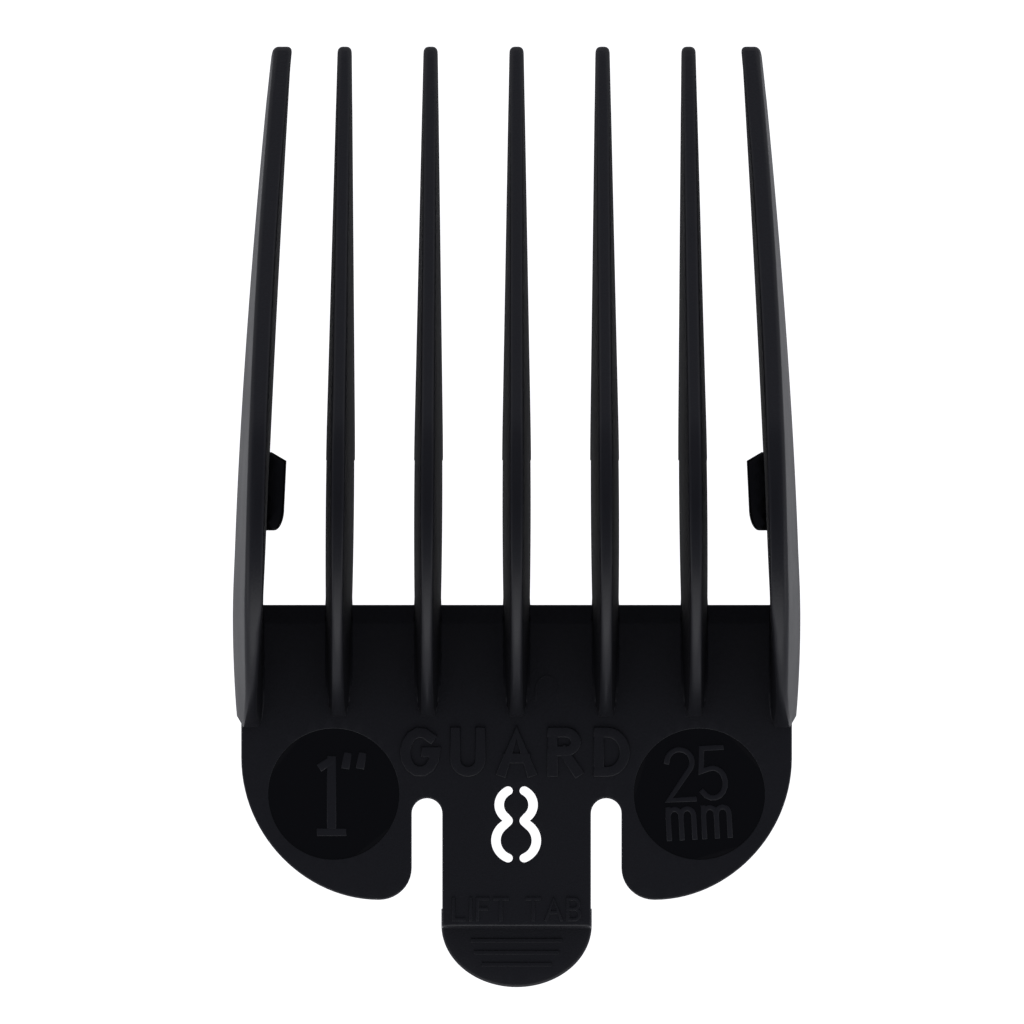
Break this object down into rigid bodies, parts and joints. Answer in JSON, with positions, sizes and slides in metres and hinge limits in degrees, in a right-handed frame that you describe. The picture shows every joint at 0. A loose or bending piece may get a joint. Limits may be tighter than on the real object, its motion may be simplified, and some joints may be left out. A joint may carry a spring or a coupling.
{
  "type": "clipper guard comb",
  "caption": "One-piece plastic guard comb for a hair clipper, with tall ribs that leave hair 25 mm long, side lugs and a springy release tongue.",
  "frame": {"origin": "middle of the footprint, on the surface that the comb lies on with its blade side down", "axes": "+X to the right seen from the skin side with the teeth pointing away, +Y towards the tips of the teeth, +Z from the blade towards the skin"},
  "size_m": [0.052, 0.0863, 0.028],
  "materials": {
    "black_nylon": "moulded black nylon with a fine satin texture",
    "smooth_nylon": "black nylon from a polished part of the mould"
  },
  "bodies": {
    "comb": {"base_plate": "black_nylon", "rib_1": "black_nylon", "rib_2": "black_nylon", "rib_3": "black_nylon", "rib_4": "black_nylon", "rib_5": "black_nylon", "side_tooth_left": "black_nylon", "side_tooth_right": "black_nylon", "side_lug_left": "smooth_nylon", "side_lug_right": "smooth_nylon"},
    "tongue": {"release_tongue": "black_nylon", "rear_step": "black_nylon", "latch_hook": "black_nylon", "thumb_lip": "black_nylon"}
  },
  "joints": [
    {"name": "tongue_flex", "type": "hinge", "parent": "comb", "child": "tongue", "pos_m": [0, -0.0258, 0.0048], "axis": [-1, 0, 0], "range_deg": [0, 10], "stiffness_Nm_per_rad": 0.6}
  ]
}
